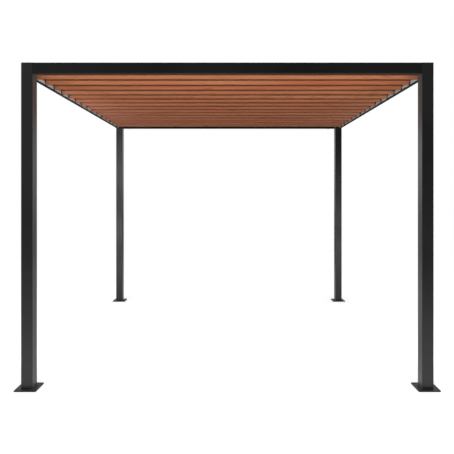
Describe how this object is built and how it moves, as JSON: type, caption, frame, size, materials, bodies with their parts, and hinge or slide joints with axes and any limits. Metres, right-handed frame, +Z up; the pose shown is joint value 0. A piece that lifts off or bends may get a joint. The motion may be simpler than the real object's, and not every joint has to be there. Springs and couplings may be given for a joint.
{
  "type": "flat-roofed slatted pergola",
  "caption": "Free-standing square pergola with square posts on foot plates, a slim dark beam frame and a flat roof of tilted wood-effect slats.",
  "frame": {"origin": "on the ground, under the middle of the plan", "axes": "+Z up; +X to the right along the slats and +Y to the back, seen from the front"},
  "size_m": [3.076, 3.076, 2.38],
  "materials": {
    "post_coat": "matt black-grey powder coat on aluminium",
    "beam_coat": "matt black-grey powder coat on aluminium",
    "plate_coat": "matt black-grey powder coat on steel",
    "cap_plastic": "matt black moulded plastic",
    "rail_coat": "light grey powder coat on aluminium",
    "holder_plastic": "matt dark brown moulded plastic",
    "bare_aluminium": "mill finish",
    "wood_effect_coat": "warm brown wood-effect coat on aluminium"
  },
  "bodies": {
    "root": {"post_front_left": "post_coat", "post_front_right": "post_coat", "post_rear_left": "post_coat", "post_rear_right": "post_coat", "foot_plate_front_left": "plate_coat", "foot_plate_front_right": "plate_coat", "foot_plate_rear_left": "plate_coat", "foot_plate_rear_right": "plate_coat", "post_cap_front_left": "cap_plastic", "post_cap_front_right": "cap_plastic", "post_cap_rear_left": "cap_plastic", "post_cap_rear_right": "cap_plastic", "beam_front": "beam_coat", "beam_rear": "beam_coat", "beam_left": "beam_coat", "beam_right": "beam_coat", "beam_sleeves_front": "bare_aluminium", "beam_sleeves_rear": "bare_aluminium", "beam_sleeves_left": "bare_aluminium", "beam_sleeves_right": "bare_aluminium", "slat_01": "wood_effect_coat", "slat_02": "wood_effect_coat", "slat_03": "wood_effect_coat", "slat_04": "wood_effect_coat", "slat_05": "wood_effect_coat", "slat_06": "wood_effect_coat", "slat_07": "wood_effect_coat", "slat_08": "wood_effect_coat", "slat_09": "wood_effect_coat", "slat_10": "wood_effect_coat", "slat_11": "wood_effect_coat", "slat_12": "wood_effect_coat", "slat_13": "wood_effect_coat", "slat_14": "wood_effect_coat", "slat_15": "wood_effect_coat", "slat_rail_left": "rail_coat", "slat_rail_right": "rail_coat", "slat_holders_left": "holder_plastic", "slat_holders_right": "holder_plastic"}
  },
  "joints": []
}
